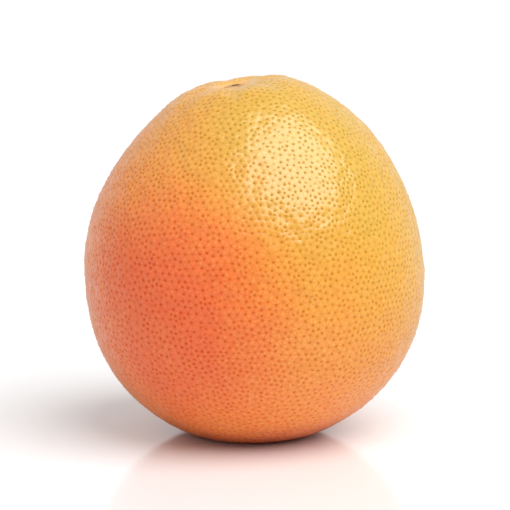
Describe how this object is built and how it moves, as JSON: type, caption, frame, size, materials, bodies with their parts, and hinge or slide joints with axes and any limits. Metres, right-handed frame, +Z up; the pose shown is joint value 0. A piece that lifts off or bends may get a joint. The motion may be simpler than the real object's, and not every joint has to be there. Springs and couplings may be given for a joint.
{
  "type": "grapefruit",
  "caption": "Whole ripe grapefruit with its dry calyx button, standing on the flat spot at its blossom end.",
  "frame": {"origin": "on the surface that the fruit stands on, under the middle of the fruit", "axes": "+Z up, towards the stem end; -Y is the side that is seen from the front; the higher shoulder is on +X"},
  "size_m": [0.1022, 0.1006, 0.108],
  "materials": {
    "peel": "waxy, pitted citrus peel, soft gloss",
    "calyx": "dry, matt, woody"
  },
  "bodies": {
    "root": {"fruit": "peel", "calyx_button": "calyx"}
  },
  "joints": []
}
